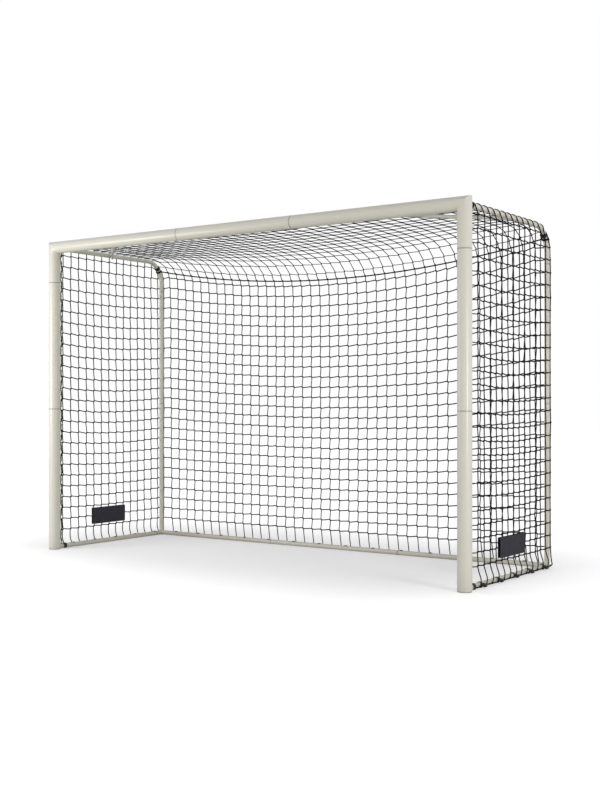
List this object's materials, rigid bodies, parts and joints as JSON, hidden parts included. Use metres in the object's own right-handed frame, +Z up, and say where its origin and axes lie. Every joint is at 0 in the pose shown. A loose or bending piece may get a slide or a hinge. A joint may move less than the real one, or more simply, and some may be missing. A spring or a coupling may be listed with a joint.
{
  "type": "soccer goal",
  "caption": "Portable soccer goal: a wide round tube front frame, a thin tube rear frame standing on ground bars, and a black rope net over the roof, back and sides.",
  "frame": {"origin": "middle of the goal's footprint, on the ground", "axes": "+X along the crossbar, +Y from the mouth to the back net, +Z up"},
  "size_m": [3, 1.1262, 2],
  "materials": {
    "front_frame": "cream powder coat, satin",
    "rear_frame": "cream powder coat, satin",
    "sleeves": "mill finish",
    "joiners": "zinc plated",
    "screws": "zinc plated",
    "foot_plugs": "fine moulded",
    "net_cord": "braided cord",
    "rope": "braided rope",
    "clips": "moulded",
    "labels": "woven tape"
  },
  "bodies": {
    "root": {"bend_ring_left": "clips", "bend_ring_right": "clips", "brace_left": "rear_frame", "brace_left_screw": "screws", "brace_right": "rear_frame", "brace_right_screw": "screws", "corner_left": "front_frame", "corner_right": "front_frame", "crossbar_lacing": "rope", "crossbar_middle": "front_frame", "crossbar_screw_left": "screws", "crossbar_screw_right": "screws", "crossbar_sleeve_left": "sleeves", "crossbar_sleeve_right": "sleeves", "edge_rope": "rope", "foot_clip_left": "clips", "foot_clip_right": "clips", "foot_plug_left": "foot_plugs", "foot_plug_right": "foot_plugs", "ground_side_bar_left": "rear_frame", "ground_side_bar_right": "rear_frame", "label_left": "labels", "label_right": "labels", "net_back": "net_cord", "net_left": "net_cord", "net_right": "net_cord", "net_roof": "net_cord", "pole_lower_joiner_left": "joiners", "pole_lower_joiner_right": "joiners", "pole_screw_left": "screws", "pole_screw_right": "screws", "pole_upper_joiner_left": "joiners", "pole_upper_joiner_right": "joiners", "post_lacing_left": "rope", "post_lacing_right": "rope", "post_lower_left": "front_frame", "post_lower_right": "front_frame", "post_lower_screw_left": "screws", "post_lower_screw_right": "screws", "post_lower_sleeve_left": "sleeves", "post_lower_sleeve_right": "sleeves", "post_middle_left": "front_frame", "post_middle_right": "front_frame", "post_upper_screw_left": "screws", "post_upper_screw_right": "screws", "post_upper_sleeve_left": "sleeves", "post_upper_sleeve_right": "sleeves", "rear_bar_joiner_left": "joiners", "rear_bar_joiner_right": "joiners", "rear_bar_middle": "rear_frame", "rear_corner_left": "rear_frame", "rear_corner_right": "rear_frame", "rear_pole_left": "rear_frame", "rear_pole_right": "rear_frame", "side_bar_joiner_left": "joiners", "side_bar_joiner_right": "joiners", "tension_rope": "rope", "top_side_bar_left": "rear_frame", "top_side_bar_right": "rear_frame"}
  },
  "joints": []
}
